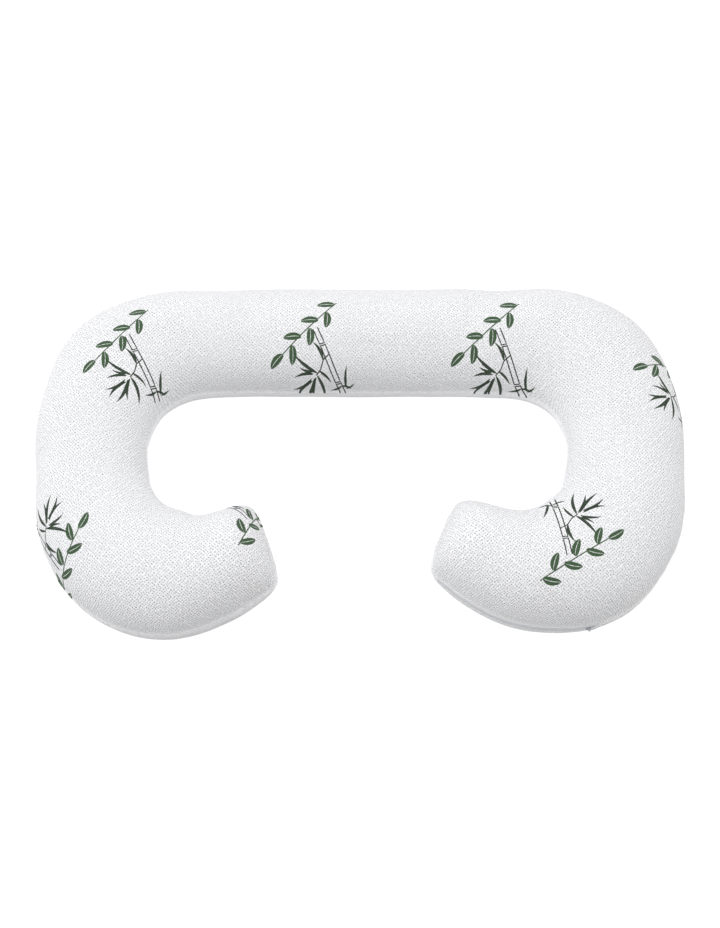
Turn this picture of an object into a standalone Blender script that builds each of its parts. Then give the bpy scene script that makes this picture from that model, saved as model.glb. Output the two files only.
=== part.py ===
"""Body pillow lying flat: two sewn panels, filled to a wide C, with a closed zip in the side seam.

Metres, +Z up. The pillow rests on z = 0. X runs along its straight bar, the mouth of the C is towards -Y,
and the box of the whole pillow is centred on the origin.
"""

from collections import namedtuple
from math import radians

import bmesh
import bpy
import numpy as np
from mathutils import Matrix, Vector
from mathutils.bvhtree import BVHTree

NAME = "body_pillow"

# Each arm runs from the middle of the bar to its tip: half the bar, a corner, a leg, a curl and the tip.
# side is +1 for the arm at +X. The radii and lengths are those of the tube's middle line, in plan.
Arm = namedtuple("Arm", "side half_bar corner_radius corner_turn leg curl_radius curl_turn tip closing skew")
RIGHT_ARM = Arm(1, 0.311, 0.2535, 96.4, 0.062, 0.212, 108.2, 0.1017, 0.085, -3.4)
LEFT_ARM = Arm(-1, 0.3345, 0.262, 96.3, 0.067, 0.211, 103.2, 0.1022, 0.110, -0.7)
BEND_EASING = 0.060       # length over which a bend starts and stops
LINE_STEP = 0.001         # step of the worked-out middle line

# The tube's section at each place along an arm: the stuffed thickness, then half the width and the sideways
# shift (+ is outwards) of the right and the left arm.
Section = namedtuple("Section", "place thickness right_half right_shift left_half left_shift")
SECTIONS = (
    Section("bar", 0.206, 0.1181, -0.0033, 0.1181, -0.0033),
    Section("bar end", 0.206, 0.1187, -0.0029, 0.1191, -0.0024),
    Section("corner start", 0.207, 0.1196, -0.0058, 0.1172, -0.0060),
    Section("corner quarter", 0.210, 0.1320, 0.0073, 0.1267, 0.0042),
    Section("corner half", 0.216, 0.1370, 0.0123, 0.1341, 0.0143),
    Section("corner three quarters", 0.216, 0.1280, 0.0004, 0.1236, 0.0008),
    Section("corner end", 0.216, 0.1236, -0.0027, 0.1172, -0.0038),
    Section("curl start", 0.217, 0.1264, -0.0029, 0.1191, -0.0033),
    Section("curl quarter", 0.223, 0.1355, 0.0069, 0.1305, 0.0029),
    Section("curl half", 0.228, 0.1439, 0.0161, 0.1388, 0.0134),
    Section("curl three quarters", 0.227, 0.1278, 0.0132, 0.1342, 0.0107),
    Section("closing", 0.226, 0.1030, 0.0046, 0.1103, 0.0053),
    Section("tip", 0.226, 0.0897, -0.0006, 0.1006, -0.0090),
)
BAR_END_AT = 0.7          # "bar end" sits at this share of the half bar
SEAM_SHARE = 0.47         # height of the side seam, as a share of the thickness

# The section's outline. The upper panel is a full curve from seam to seam, the lower one rests flat.
TOP_POWER = 2.15          # roundness of the upper panel: 2 is an ellipse, more is squarer
TOP_ANGLES = (20, 44, 67, 90, 113, 136, 160)
LowColumn = namedtuple("LowColumn", "across down")
LOW_COLUMNS = (
    LowColumn(0.94, 0.42),
    LowColumn(0.78, 0.79),
    LowColumn(0.50, 1.00),
    LowColumn(0.00, 1.00),
    LowColumn(-0.50, 1.00),
    LowColumn(-0.78, 0.79),
    LowColumn(-0.94, 0.42),
)
END_POWER = 2.4           # roundness with which the tube closes to its end seam
END_BOW = 0.010           # the end seam's middle stands this far beyond its corners
TIP_ROUND, TIP_POWER = 0.16, 8   # share by which the tip narrows to its end seam, and how late
SEAM_GROOVE = 0.004       # depth of the cage's groove at the side seam
SEAM_FLANK = 0.005        # half the height of that groove
SWELL = 1.02              # the cage stands this much outside the skin that subdivision gives
FLANK_SWELL = 1.008       # and this much at the seam, where its columns are closer

STATION_PITCH = 0.044     # along the middle line
CLOSING_ANGLES = (22.5, 45, 67.5)
SUBDIVISIONS = 1

# The zip: a band over the seam at the outer side of the right-hand curl.
ZIP_START = 0.020         # from the right arm's end seam, along the middle line, to the band's first end
ZIP_END = 0.268
ZIP_STEP = 0.010
ZIP_DROP = 0.004          # the band's middle lies this far below the seam's middle
TAPE_GAP = 0.0006         # between the band and the skin
TapeColumn = namedtuple("TapeColumn", "up rise")
TAPE_OUTSIDE = (
    TapeColumn(-0.0060, 0.0013),
    TapeColumn(-0.0035, 0.0024),
    TapeColumn(0.0, 0.0029),
    TapeColumn(0.0035, 0.0024),
    TapeColumn(0.0060, 0.0013),
)
TAPE_INSIDE_UPS = (0.0060, 0.0040, 0.0015, -0.0015, -0.0040, -0.0060)

# The slider stands on the band. Its bail is half a ring, and the pull's end wall lies inside it.
# Sizes run along the seam, across it and out of the skin.
TOUCH_GAP = 0.0003
SLIDER_SIZE = (0.0100, 0.0085, 0.0030)
SLIDER_BEVEL = 0.0009
SLIDER_FROM_END = 0.008   # the slider's middle, back from the band's far end
BAIL_AT = 0.0015          # ahead of the slider's middle
BAIL_RADIUS = 0.0026
BAIL_WIRE = 0.0006
BAIL_STEPS = (20, 8)      # round the ring and round its wire
BAIL_STRETCH = 1.3        # the bail is this much taller than half a ring
BAIL_SINK = 0.0002        # its middle lies this far below the slider's top
BAIL_ROOT = 0.5           # its lower half is flattened to this share, to stay inside the slider
PULL_SIZE = (0.0170, 0.0080, 0.0014)
PULL_AT = 0.0011          # the pull's hinged end, ahead of the slider's middle
PULL_CORNER = 0.0025
CORNER_POINTS = 5
PULL_HOLE = (0.0040, 0.0034)
PULL_END_WALL = 0.0014
PULL_LIFT = 0.0005        # above the slider's top
PULL_DROOP = 9            # degrees

Look = namedtuple("Look", "colour roughness metallic")
KNIT = Look((0.86, 0.87, 0.88, 1.0), 0.92, 0.0)
TAPE = Look((0.74, 0.75, 0.76, 1.0), 0.80, 0.0)
ZIP_HARDWARE = Look((0.66, 0.67, 0.68, 1.0), 0.38, 0.0)


def remove_old_objects():
    for old in list(bpy.data.objects):
        bpy.data.objects.remove(old, do_unlink=True)


def make_collection(name):
    collection = bpy.data.collections.new(name)
    bpy.context.scene.collection.children.link(collection)
    return collection


def make_material(name, look):
    material = bpy.data.materials.new(name)
    material.use_nodes = True
    shader = material.node_tree.nodes["Principled BSDF"]
    shader.inputs["Base Color"].default_value = look.colour
    shader.inputs["Roughness"].default_value = look.roughness
    shader.inputs["Metallic"].default_value = look.metallic
    return material


def add_object(name, shape, collection, look):
    """An object from a bmesh, with its own material."""
    bmesh.ops.recalc_face_normals(shape, faces=shape.faces)
    mesh = bpy.data.meshes.new(name)
    shape.to_mesh(mesh)
    shape.free()
    mesh.shade_smooth()
    mesh.materials.append(make_material(name, look))
    made = bpy.data.objects.new(name, mesh)
    collection.objects.link(made)
    return made


class MiddleLine:
    """The middle line of one arm, in plan, before it is mirrored to its side."""

    def __init__(self, arm):
        self.arm = arm
        corner = arm.corner_radius * radians(arm.corner_turn)
        curl = arm.curl_radius * radians(arm.curl_turn)
        self.ends = np.cumsum((arm.half_bar, corner, arm.leg, curl, arm.tip))
        self.length = self.ends[-1]
        self.along = np.linspace(0, self.length, round(self.length / LINE_STEP) + 1)
        step = self.along[1]
        bends = np.array((0, 1 / arm.corner_radius, 0, 1 / arm.curl_radius, 0))
        bend = bends[np.minimum(np.searchsorted(self.ends, self.along), len(bends) - 1)]
        reach = round(BEND_EASING / LINE_STEP / 2)
        window = np.ones(2 * reach + 1) / (2 * reach + 1)
        for _ in range(2):
            bend = np.convolve(np.pad(bend, reach, mode="edge"), window, "valid")
        self.heading = -np.append(0, np.cumsum((bend[1:] + bend[:-1]) / 2)) * step
        halfway = (self.heading[1:] + self.heading[:-1]) / 2
        self.x = np.append(0, np.cumsum(np.cos(halfway))) * step
        self.y = np.append(0, np.cumsum(np.sin(halfway))) * step

    def places(self):
        """Where along the line each row of SECTIONS applies."""
        bar, corner, leg, curl, end = self.ends
        corner_rows = [bar + (corner - bar) * quarter / 4 for quarter in range(5)]
        curl_rows = [leg + (curl - leg) * quarter / 4 for quarter in range(4)]
        return (0, bar * BAR_END_AT, *corner_rows, *curl_rows, end - self.arm.closing, end)


def flowing(places, values, at):
    """Values between a table's rows, on one smooth curve that is level at both ends."""
    places, values = np.array(places), np.array(values)
    slopes = np.zeros(len(values))
    slopes[1:-1] = (values[2:] - values[:-2]) / (places[2:] - places[:-2])
    row = min(max(int(np.searchsorted(places, at, side="right")) - 1, 0), len(places) - 2)
    span = places[row + 1] - places[row]
    share = min(max((at - places[row]) / span, 0), 1)
    bends = slopes[row] * (1 - share) - slopes[row + 1] * share
    steps = (values[row + 1] - values[row]) * share * share * (3 - 2 * share)
    return values[row] + steps + span * share * (1 - share) * bends


class Station:
    """The tube's section at one distance along an arm."""

    def __init__(self, line, at):
        arm = line.arm
        heading = np.interp(at, line.along, line.heading)
        x, y = np.interp(at, line.along, line.x), np.interp(at, line.along, line.y)
        self.middle = Vector((arm.side * x, y, 0))
        self.outward = Vector((-arm.side * np.sin(heading), np.cos(heading), 0))
        self.ahead = Vector((arm.side * np.cos(heading), np.sin(heading), 0))
        right = arm.side > 0
        places = line.places()
        self.closed = max(0, (at - (line.length - arm.closing)) / arm.closing)
        half = flowing(places, [row.right_half if right else row.left_half for row in SECTIONS], at)
        self.half = half * (1 - TIP_ROUND * self.closed**TIP_POWER)
        self.shift = flowing(places, [row.right_shift if right else row.left_shift for row in SECTIONS], at)
        thickness = flowing(places, [row.thickness for row in SECTIONS], at)
        self.open = (1 - min(self.closed, 1) ** END_POWER) ** (1 / END_POWER)
        self.seam_height = SEAM_SHARE * thickness
        self.top = (thickness - self.seam_height) * self.open
        self.low = self.seam_height * self.open
        self.lean = np.tan(radians(arm.skew)) * self.closed**1.5

    def point(self, across, up):
        """A point of the section: across is metres outwards from its middle, up is metres above the seam."""
        place = self.middle + self.outward * (across + self.shift) + self.ahead * (across * self.lean)
        return place + Vector((0, 0, self.seam_height + up))


def section_points(station):
    """The cage's ring: over the top from the outer seam to the inner one, then back below."""
    side = station.half * FLANK_SWELL
    groove = side - SEAM_GROOVE * station.open
    flank = SEAM_FLANK * station.open
    angles = np.radians(TOP_ANGLES)
    wide = np.sign(np.cos(angles)) * np.abs(np.cos(angles)) ** (2 / TOP_POWER) * station.half * SWELL
    high = np.sin(angles) ** (2 / TOP_POWER) * station.top * SWELL
    ring = [station.point(groove, 0), station.point(side, flank)]
    ring += [station.point(across, up) for across, up in zip(wide, high)]
    ring += [station.point(-side, flank), station.point(-groove, 0), station.point(-side, -flank)]
    for column in reversed(LOW_COLUMNS):
        ring.append(station.point(column.across * station.half * SWELL, -column.down * station.low))
    ring.append(station.point(side, -flank))
    return ring


def end_points(station):
    """The end seam's row, where upper and lower panel meet: one point for each column of the upper panel."""
    row = []
    for angle in np.radians((0, 10) + TOP_ANGLES + (170, 180)):
        bow = station.ahead * END_BOW * np.sin(angle) ** 2
        row.append(station.point(np.cos(angle) * station.half, 0) + bow)
    return row


def arm_distances(line):
    body = line.length - line.arm.closing
    even = np.linspace(0, body, round(body / STATION_PITCH) + 1)
    closing = line.arm.closing * (1 - np.sin(np.radians(CLOSING_ANGLES)))
    return list(even) + list(line.length - closing)


def join_rings(shape, first, second):
    count = len(first)
    for column in range(count):
        after = (column + 1) % count
        shape.faces.new((first[column], first[after], second[after], second[column]))


def join_end(shape, ring, row):
    """Both panels of the last ring closed on to the end seam's row."""
    last = len(row) - 1
    for column in range(last):
        below, below_next = -column % len(ring), -(column + 1) % len(ring)
        shape.faces.new((ring[column], ring[column + 1], row[column + 1], row[column]))
        shape.faces.new((ring[below_next], ring[below], row[column], row[column + 1]))


def build_pillow(collection):
    """A cage lofted from the left tip round to the right tip, then subdivided."""
    left, right = MiddleLine(LEFT_ARM), MiddleLine(RIGHT_ARM)
    stations = [Station(left, at) for at in reversed(arm_distances(left))]
    stations += [Station(right, at) for at in arm_distances(right)[1:]]
    shape = bmesh.new()
    rings = [[shape.verts.new(point) for point in section_points(station)] for station in stations]
    for first, second in zip(rings, rings[1:]):
        join_rings(shape, first, second)
    for line, ring in ((left, rings[0]), (right, rings[-1])):
        row = [shape.verts.new(point) for point in end_points(Station(line, line.length))]
        join_end(shape, ring, row)
    pillow = add_object("pillow", shape, collection, KNIT)
    smooth = pillow.modifiers.new("Soft form", "SUBSURF")
    smooth.levels = smooth.render_levels = SUBDIVISIONS
    smooth.use_limit_surface = False
    return pillow


class SeamSide:
    """The finished skin at the outer side of the right arm, read by casting rays inwards."""

    def __init__(self, pillow):
        bpy.context.view_layer.update()
        mesh = pillow.evaluated_get(bpy.context.evaluated_depsgraph_get()).to_mesh()
        corners = [vertex.co.copy() for vertex in mesh.vertices]
        self.tree = BVHTree.FromPolygons(corners, [face.vertices[:] for face in mesh.polygons])
        self.line = MiddleLine(RIGHT_ARM)

    def station(self, from_tip):
        return Station(self.line, self.line.length - from_tip)

    def skin(self, from_tip, up):
        """The skin's point at a distance from the tip and a height above the zip's middle."""
        station = self.station(from_tip)
        start = station.point(2 * station.half, up - ZIP_DROP)
        found = self.tree.ray_cast(start, -station.outward)
        return found[0]


def build_tape(side, collection):
    """The closed band: its inside follows the skin and its groove, its outside bridges them."""
    shape = bmesh.new()
    rings = []
    edge = TAPE_OUTSIDE[-1].up
    for from_tip in np.arange(ZIP_START, ZIP_END + ZIP_STEP / 2, ZIP_STEP):
        outward = side.station(from_tip).outward
        low, high = side.skin(from_tip, -edge), side.skin(from_tip, edge)
        ring = []
        for column in TAPE_OUTSIDE:
            bridged = low.lerp(high, (column.up + edge) / (2 * edge))
            ring.append(shape.verts.new(bridged + outward * column.rise))
        for up in TAPE_INSIDE_UPS:
            ring.append(shape.verts.new(side.skin(from_tip, up) + outward * TAPE_GAP))
        rings.append(ring)
    for first, second in zip(rings, rings[1:]):
        join_rings(shape, first, second)
    shape.faces.new(rings[0])
    shape.faces.new(reversed(rings[-1]))
    return add_object("zip_tape", shape, collection, TAPE)


def slider_frame(side):
    """Axes on the band's crest at the slider: X along the seam away from the tip, Z out of the skin."""
    at = ZIP_END - SLIDER_FROM_END
    nearer, farther = side.station(at - ZIP_STEP), side.station(at + ZIP_STEP)
    crest = max(column.rise for column in TAPE_OUTSIDE)
    edge = TAPE_OUTSIDE[-1].up
    low, high = side.skin(at, -edge), side.skin(at, edge)
    middle = low.lerp(high, 0.5) + side.station(at).outward * crest
    along = farther.point(farther.half, 0) - nearer.point(nearer.half, 0)
    along.z = 0
    along.normalize()
    outward = along.cross(high - low).normalized()
    across = outward.cross(along)
    axes = Matrix((along, across, outward)).transposed().to_4x4()
    return Matrix.Translation(middle) @ axes


def make_bail(frame, guides):
    """A stretched ring, half sunk in the slider's top."""
    bpy.ops.mesh.primitive_torus_add(
        major_radius=BAIL_RADIUS,
        minor_radius=BAIL_WIRE,
        major_segments=BAIL_STEPS[0],
        minor_segments=BAIL_STEPS[1],
    )
    bail = bpy.context.object
    bail.name = "bail guide"
    for holder in list(bail.users_collection):
        holder.objects.unlink(bail)
    guides.objects.link(bail)
    stand = Matrix.Rotation(radians(90), 4, "X")
    stretch = Matrix.Diagonal((1, 1, BAIL_STRETCH, 1))
    middle = Vector((BAIL_AT, 0, TOUCH_GAP + SLIDER_SIZE[2] - BAIL_SINK))
    bail.data.transform(stretch @ stand)
    for vertex in bail.data.vertices:
        if vertex.co.z < 0:
            vertex.co.z *= BAIL_ROOT
    bail.matrix_world = frame @ Matrix.Translation(middle)
    bail.hide_render = True
    bail.display_type = "WIRE"
    return bail


def build_slider(frame, collection, guides):
    """The slider's body, joined with the bail that the pull hangs on."""
    shape = bmesh.new()
    middle = Vector((0, 0, TOUCH_GAP + SLIDER_SIZE[2] / 2))
    place = Matrix.Translation(middle) @ Matrix.Diagonal((*SLIDER_SIZE, 1))
    bmesh.ops.create_cube(shape, size=1, matrix=place)
    slider = add_object("zip_slider", shape, collection, ZIP_HARDWARE)
    slider.matrix_world = frame
    rounded = slider.modifiers.new("Rounded edges", "BEVEL")
    rounded.width = SLIDER_BEVEL
    rounded.segments = 2
    joined = slider.modifiers.new("Bail", "BOOLEAN")
    joined.operation = "UNION"
    joined.object = make_bail(frame, guides)
    return slider


def corner_arc(centre_x, centre_y, start, radius):
    angles = np.radians(np.linspace(start, start + 90, CORNER_POINTS))
    return [(centre_x + radius * np.cos(angle), centre_y + radius * np.sin(angle)) for angle in angles]


def add_outline(curve, points):
    spline = curve.splines.new("POLY")
    spline.points.add(len(points) - 1)
    for point, (x, y) in zip(spline.points, points):
        point.co = (x, y, 0, 1)
    spline.use_cyclic_u = True


def build_pull(frame, collection):
    """A flat tab with round corners and a hole for the bail, drooping from the slider along the seam."""
    length, width, height = PULL_SIZE
    half = width / 2
    near, far, side = PULL_CORNER, length - PULL_CORNER, half - PULL_CORNER
    outline = corner_arc(far, side, 0, PULL_CORNER) + corner_arc(near, side, 90, PULL_CORNER)
    outline += corner_arc(near, -side, 180, PULL_CORNER) + corner_arc(far, -side, 270, PULL_CORNER)
    start, end, edge = PULL_END_WALL, PULL_END_WALL + PULL_HOLE[0], PULL_HOLE[1] / 2
    hole = ((start, -edge), (end, -edge), (end, edge), (start, edge))
    curve = bpy.data.curves.new("zip_pull", "CURVE")
    curve.dimensions = "2D"
    curve.fill_mode = "BOTH"
    curve.extrude = height / 2
    add_outline(curve, outline)
    add_outline(curve, hole)
    curve.materials.append(make_material("zip_pull", ZIP_HARDWARE))
    pull = bpy.data.objects.new("zip_pull", curve)
    collection.objects.link(pull)
    hinge = Vector((PULL_AT, 0, TOUCH_GAP + SLIDER_SIZE[2] + PULL_LIFT + height / 2))
    pull.matrix_world = frame @ Matrix.Translation(hinge) @ Matrix.Rotation(radians(PULL_DROOP), 4, "Y")
    return pull


def centre_on_origin(pieces, guides):
    """Moves everything so that the whole pillow's box is centred on the Z axis."""
    bpy.context.view_layer.update()
    graph = bpy.context.evaluated_depsgraph_get()
    corners = []
    for piece in pieces:
        finished = piece.evaluated_get(graph)
        corners += [finished.matrix_world @ vertex.co for vertex in finished.to_mesh().vertices]
    for axis in (0, 1):
        places = [corner[axis] for corner in corners]
        for moved in [*pieces, *guides.objects]:
            moved.location[axis] -= (min(places) + max(places)) / 2


def main():
    remove_old_objects()
    collection = make_collection(NAME)
    guides = make_collection("guides")
    pillow = build_pillow(collection)
    side = SeamSide(pillow)
    frame = slider_frame(side)
    pieces = [pillow, build_tape(side, collection)]
    pieces += [build_slider(frame, collection, guides), build_pull(frame, collection)]
    centre_on_origin(pieces, guides)


main()
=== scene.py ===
"""Looks of the body pillow: its filled knit cover, the print on it, and the closed zip in its side seam.

Metres, +Z up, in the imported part's own frame. X runs along the straight bar, the C opens towards -Y, and the
pillow rests on z = 0.
"""

from collections import namedtuple
from math import cos, exp, pi, radians, sin

import bmesh
import bpy
import numpy as np
from mathutils import Matrix, Vector, noise
from mathutils.bvhtree import BVHTree
from mathutils.kdtree import KDTree


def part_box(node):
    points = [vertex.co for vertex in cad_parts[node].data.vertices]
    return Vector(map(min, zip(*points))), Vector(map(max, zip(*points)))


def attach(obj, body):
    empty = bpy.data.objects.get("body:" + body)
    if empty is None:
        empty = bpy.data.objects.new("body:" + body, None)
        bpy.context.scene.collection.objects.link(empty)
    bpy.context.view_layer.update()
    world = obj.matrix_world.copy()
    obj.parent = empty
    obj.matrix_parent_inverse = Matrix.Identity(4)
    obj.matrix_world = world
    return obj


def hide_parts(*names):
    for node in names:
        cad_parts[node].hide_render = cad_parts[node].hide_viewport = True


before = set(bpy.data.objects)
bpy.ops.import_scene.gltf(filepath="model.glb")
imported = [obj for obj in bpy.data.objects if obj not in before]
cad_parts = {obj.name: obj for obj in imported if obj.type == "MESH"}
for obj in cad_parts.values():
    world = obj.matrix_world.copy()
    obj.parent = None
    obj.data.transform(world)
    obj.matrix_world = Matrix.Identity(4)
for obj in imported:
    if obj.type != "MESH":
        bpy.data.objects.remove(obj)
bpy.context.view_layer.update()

# The pillow's form. Each arm runs from the bar's middle: half the bar, a corner, a leg, a curl and the tip.
# side is +1 for the arm at +X. The radii and lengths are those of the tube's middle line, in plan.
Arm = namedtuple("Arm", "side half_bar corner_radius corner_turn leg curl_radius curl_turn tip closing skew")
RIGHT_ARM = Arm(1, 0.311, 0.2535, 96.4, 0.062, 0.212, 108.2, 0.1040, 0.085, -3.4)
LEFT_ARM = Arm(-1, 0.3345, 0.262, 96.3, 0.067, 0.211, 103.2, 0.1050, 0.110, -0.7)
BEND_EASING = 0.060  # length over which a bend starts and stops
LINE_STEP = 0.001  # step of the worked-out middle line

# The tube's section at places along an arm: the stuffed thickness, then half the width and the sideways shift
# (+ is outwards) of the right arm, and the same two of the left arm.
SECTIONS = (
    (0.206, 0.1181, -0.0033, 0.1181, -0.0033),  # bar
    (0.206, 0.1187, -0.0029, 0.1191, -0.0024),  # bar, near its end
    (0.207, 0.1196, -0.0058, 0.1172, -0.0060),  # corner, by quarters of its turn
    (0.210, 0.1320, 0.0073, 0.1267, 0.0042),
    (0.216, 0.1370, 0.0123, 0.1341, 0.0143),
    (0.216, 0.1280, 0.0004, 0.1236, 0.0008),
    (0.216, 0.1236, -0.0027, 0.1172, -0.0038),
    (0.217, 0.1264, -0.0029, 0.1191, -0.0033),  # curl, by quarters of its turn
    (0.223, 0.1355, 0.0069, 0.1305, 0.0029),
    (0.228, 0.1439, 0.0161, 0.1388, 0.0134),
    (0.227, 0.1278, 0.0132, 0.1342, 0.0107),
    (0.226, 0.1030, 0.0046, 0.1103, 0.0053),    # where the tube starts to close
    (0.226, 0.0897, -0.0006, 0.1006, -0.0090),  # tip
)
RIGHT_COLUMNS, LEFT_COLUMNS = (0, 1, 2), (0, 3, 4)
BAR_END_AT = 0.7  # the second row applies at this share of the half bar
SEAM_SHARE = 0.47  # height of the side seam, as a share of the thickness
INNER_DROP = 0.016  # along the skin, how much lower the seam of the inner side lies than that
TOP_POWER = 2.15  # roundness of the upper panel: 2 is an ellipse, more is squarer
LOW_POWER = 2.6  # the same for the lower panel
LOW_FLAT = 1.03  # the lower panel would reach this much deeper if the floor didn't stop it
END_POWER = 2.4  # roundness with which the tube closes to its end seam
END_BOW = 0.010  # the end seam's middle stands this far beyond its corners
TIP_ROUND, TIP_POWER = 0.16, 8  # share by which the tip narrows to its end seam, and how late
SKEW_POWER = 1.5  # how late the end seam's slant sets in

# The cover's mesh before its one subdivision.
STATION_PITCH = 0.0125
CLOSING_STATIONS = 11
CLOSING_LAST = 87  # degrees round the closing curve at which the last ring stands
PANEL_COLUMNS = 38  # across each panel, from seam to seam
CROWDING = 0.80  # how much closer the columns stand at the seams than at the crown: 0 is even
OUTLINE_STEPS = 400  # points of the worked-out outline of a panel
FABRIC_GIVE = 0.16  # share by which the flat cut is too short at the seams, where the knit stretches
FLATTENING_ROUNDS, FLATTENING_EASE = 900, 10  # how a closed end's cloth is laid flat at its true lengths
SEAM_CREASE = 0.5

# The filling's pressure on the cover, and how far it may move the cloth.
PRESSURE = 4.0
PRESSURE_FRAMES = 20
CLOTH_QUALITY, CLOTH_MASS = 6, 0.2
CLOTH_SLACK = 0.01  # share by which the cloth is longer than the form it starts on
START_INSET = 0.002
MOST_SWELL = 0.005

# What sewing and stuffing do to the cloth. Rise and depth are measured out of and into the skin.
VALLEY_DEPTH, VALLEY_REACH = 0.0046, 0.0032
BEAD_RISE, BEAD_AT, BEAD_REACH = 0.0024, 0.0060, 0.0034
LIP_OVER, LIP_UNDER = 1.0, 0.4  # the upper panel rolls over the seam more than the lower one
PUCKER_RISE, PUCKER_PITCH, PUCKER_REACH = 0.0013, 0.008, 0.012
DRAG_RISE, DRAG_PITCH, DRAG_REACH = 0.0014, 0.034, 0.045
LUMP_RISE, LUMP_PITCH = 0.0016, 0.110
SEAM_STIFF = 0.003  # within this of the seam the cloth keeps its place
SEAM_SAMPLE = 0.0012

# The printed sprigs: where the middle of each cane lay on the flat cloth, x and y, and its turn in degrees.
SPRIGS = (
    (-0.463, 0.169, 191),
    (-0.066, 0.189, 186),
    (0.324, 0.186, 183),
    (0.703, 0.120, 165),
    (-0.672, -0.226, 23),
    (-0.288, -0.121, 27),
    (0.410, -0.197, -8),
)
PRINT_MIDDLE = (0.030, -0.040)  # middle of a sprig's whole print, from the middle of its cane
INK_EDGE = 0.0004  # width over which the ink fades at an edge
INK_BLEED = 0.0007  # how far the knit breaks up an edge
INK_THIN, INK_DRY = 0.93, 0.07  # the ink's cover between the loops, and what a pit takes off it

# A mark of the print, from the middle of the cane. root and tip are the powers by which it swells from its
# two ends, and midrib is the bare share of its width.
Mark = namedtuple("Mark", "x y turn length width bend root tip midrib")
LEAF_SHAPE, TWIG_LEAF_SHAPE, LINE_SHAPE = (0.55, 0.95, 0.04), (0.50, 0.60, 0.09), (0.05, 0.05, 0)
# The sprig's narrow leaves: x, y, turn, length, width, bend.
SPRIG_LEAVES = (
    (0.030, 0.023, 99, 0.060, 0.0070, 0.10),
    (0.032, 0.026, 77, 0.050, 0.0066, -0.08),
    (0.036, 0.028, 57, 0.060, 0.0074, 0.08),
    (0.041, 0.033, 40, 0.052, 0.0070, -0.10),
    (0.042, 0.028, 22, 0.050, 0.0066, 0.12),
    (0.037, 0.020, 3, 0.044, 0.0062, -0.08),
    (0.035, 0.015, -20, 0.034, 0.0055, 0.10),
    (0.028, 0.019, -42, 0.066, 0.0070, 0.06),
    (0.025, 0.015, 131, 0.038, 0.0055, 0.08),
    (0.013, -0.004, -63, 0.044, 0.0070, -0.10),
    (-0.020, 0.051, 158, 0.024, 0.0047, 0.10),
    (-0.030, 0.057, 262, 0.048, 0.0059, 0.05),
    (-0.030, 0.058, 208, 0.022, 0.0043, -0.08),
    (-0.021, 0.051, 16, 0.028, 0.0051, 0.10),
)
CANE_TURN, CANE_LENGTH, CANE_WIDTH = 108, 0.150, 0.0105
CANE_JOINTS = (0.25, 0.80)  # as shares of the cane's length
JOINT_GAP, RING_REACH, RING_SLANT = 0.0042, 1.25, 0.0022
LINE_WIDTH = 0.0029
SIDE_TWIG = ((-0.001, -0.014), (0.013, -0.004), (0.020, 0.012), (0.031, 0.023))

# The leafy twig that lies beside each sprig, on its own line.
TWIG_MIDDLE, TWIG_TURN, TWIG_LENGTH = (0.046, -0.068), 40, 0.196
TWIG_STEM, TWIG_ARCH = 0.0030, 0.004
TWIG_LEAVES, TWIG_LEAF_SPREAD, TWIG_LEAF_BEND = 7, 42, 0.06
TWIG_LEAF_LENGTH, TWIG_LEAF_WIDTH = 0.038, 0.0165
FIRST_LEAF = 0.25  # place of the first leaf on the stem, in steps between leaves
END_LEAF = 0.8  # share of the end leaf that stands beyond the stem

# The zip: a band over the seam at the outer side of the right-hand curl.
ZIP_START = 0.020  # from the right arm's end seam, along the middle line, to the band's first end
ZIP_END = 0.268
ZIP_STEP = 0.0021
ZIP_DROP = 0.004  # the band's middle lies this far below the seam's middle
TAPE_GAP = 0.0004  # between the band and the skin
BAND_HALF = 0.0060
BAND_COLUMNS, BACK_SPARSE = 28, 4  # the band's back has a column for every fourth of its front's
SEAM_RUN = 0.01  # the seam's direction is read over this much of it to both sides
TAPE_EDGE, TAPE_CREST = 0.0011, 0.0022  # how far the tapes stand out, at the band's edges and in its middle
LIP_RISE, LIP_HALF = 0.0011, 0.0014  # the panels' folded edges on both sides of the band
BEAD_INSET = 0.0015  # coil and stitches keep this far from the band's ends
BEAD_FACES = {"Segments": 8, "Rings": 6, "Radius": 0.5}  # a bead before it is given its size
STITCH_ROW = 0.0044  # a row of stitches this far from the band's middle, on both sides
STITCH_PITCH, STITCH_SIZE = 0.0030, (0.0021, 0.0005, 0.0004)
COIL_PITCH, COIL_SIZE, COIL_STAGGER = 0.00065, (0.0008, 0.0026, 0.0009), 0.0018
COIL_PROUD = 0.0002  # the coil's middle stands this far above the tapes

# The slider stands on the band, with the pull on its bail. Sizes run along the seam, across it and outwards.
TOUCH_GAP = 0.0003
SLIDER_SIZE = (0.0100, 0.0085, 0.0030)
SLIDER_FROM_END = 0.008  # the slider's middle, back from the band's far end
CAD_CREST = 0.0029  # the slider stands this far above the bridge between the band's edges
SLIDER_TAIL = 0.62  # its width at the closed side, as a share of the mouth's
SLIDER_WAIST = 0.1  # it starts to narrow at this share of the way from its middle to its tail
CROWN_SHARE = (0.72, 0.50)  # the raised crown's length and width, as shares of the slider's
SLIDER_TOP = TOUCH_GAP + SLIDER_SIZE[2]
PLATE_TOP = 0.0025
RAIL_FOOT, RAIL_WALL = -0.0007, 0.0009
EDGE_ROUND, SHARP_EDGE = 0.00035, 30  # an edge turned by more than this many degrees is rounded
BAIL_AT, BAIL_RADIUS, BAIL_WIRE, BAIL_STRETCH = 0.0015, 0.0026, 0.0006, 1.3
BAIL_ARC = (-25, 205)  # degrees
BAIL_FLAT = 1.7  # the bail's wire is this much wider than it is thick
BAIL_STEPS, WIRE_STEPS = 22, 12
PULL_SIZE = (0.0170, 0.0080, 0.0014)
PULL_AT = 0.0011  # the pull's hinged end, ahead of the slider's middle
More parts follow.
